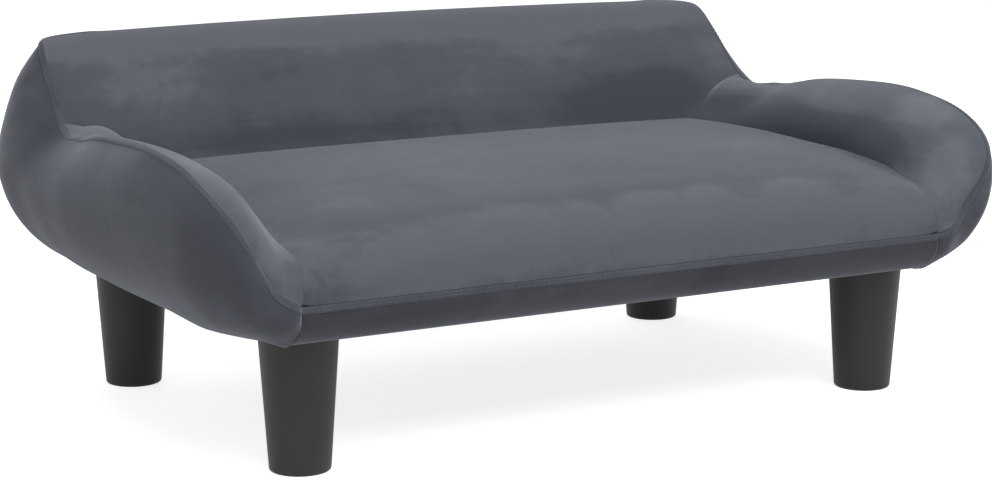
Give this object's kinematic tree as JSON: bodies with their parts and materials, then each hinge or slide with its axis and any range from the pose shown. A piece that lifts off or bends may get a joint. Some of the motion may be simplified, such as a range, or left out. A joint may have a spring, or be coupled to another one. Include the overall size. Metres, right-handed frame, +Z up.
{
  "type": "dog bed",
  "caption": "Small sofa-shaped pet bed: crowned seat pad between low flared arms and a leaning backrest, cloth covered, on tapered round legs.",
  "frame": {"origin": "on the floor under the middle of the bed", "axes": "+X to the right of someone facing the front, +Y to the back, +Z up"},
  "size_m": [0.7008, 0.4296, 0.2792],
  "materials": {
    "velvet": "short slate-grey pile",
    "bottom_cloth": "thin non-woven",
    "foam": "soft open-cell foam",
    "leg_plastic": "satin near-black",
    "softwood": "planed",
    "plywood": "sanded",
    "steel": "zinc plated"
  },
  "bodies": {
    "root": {"front_right_leg": "leg_plastic", "front_right_corner_block": "softwood", "front_left_leg": "leg_plastic", "front_left_corner_block": "softwood", "back_right_leg": "leg_plastic", "back_right_corner_block": "softwood", "back_left_leg": "leg_plastic", "back_left_corner_block": "softwood", "leg_bolts": "steel", "leg_inserts": "steel", "right_side_rail": "softwood", "right_arm_board": "plywood", "right_arm_foam": "foam", "right_arm_cover": "velvet", "right_cheek_foam": "foam", "right_cheek_cover": "velvet", "left_side_rail": "softwood", "left_arm_board": "plywood", "left_arm_foam": "foam", "left_arm_cover": "velvet", "left_cheek_foam": "foam", "left_cheek_cover": "velvet", "front_rail": "softwood", "back_rail": "softwood", "seat_deck": "plywood", "back_board": "plywood", "dust_cover": "bottom_cloth", "seat_foam": "foam", "seat_cover": "velvet", "backrest_foam": "foam", "backrest_cover": "velvet", "back_foam": "foam", "back_cover": "velvet", "front_band_foam": "foam", "front_band": "velvet"}
  },
  "joints": []
}
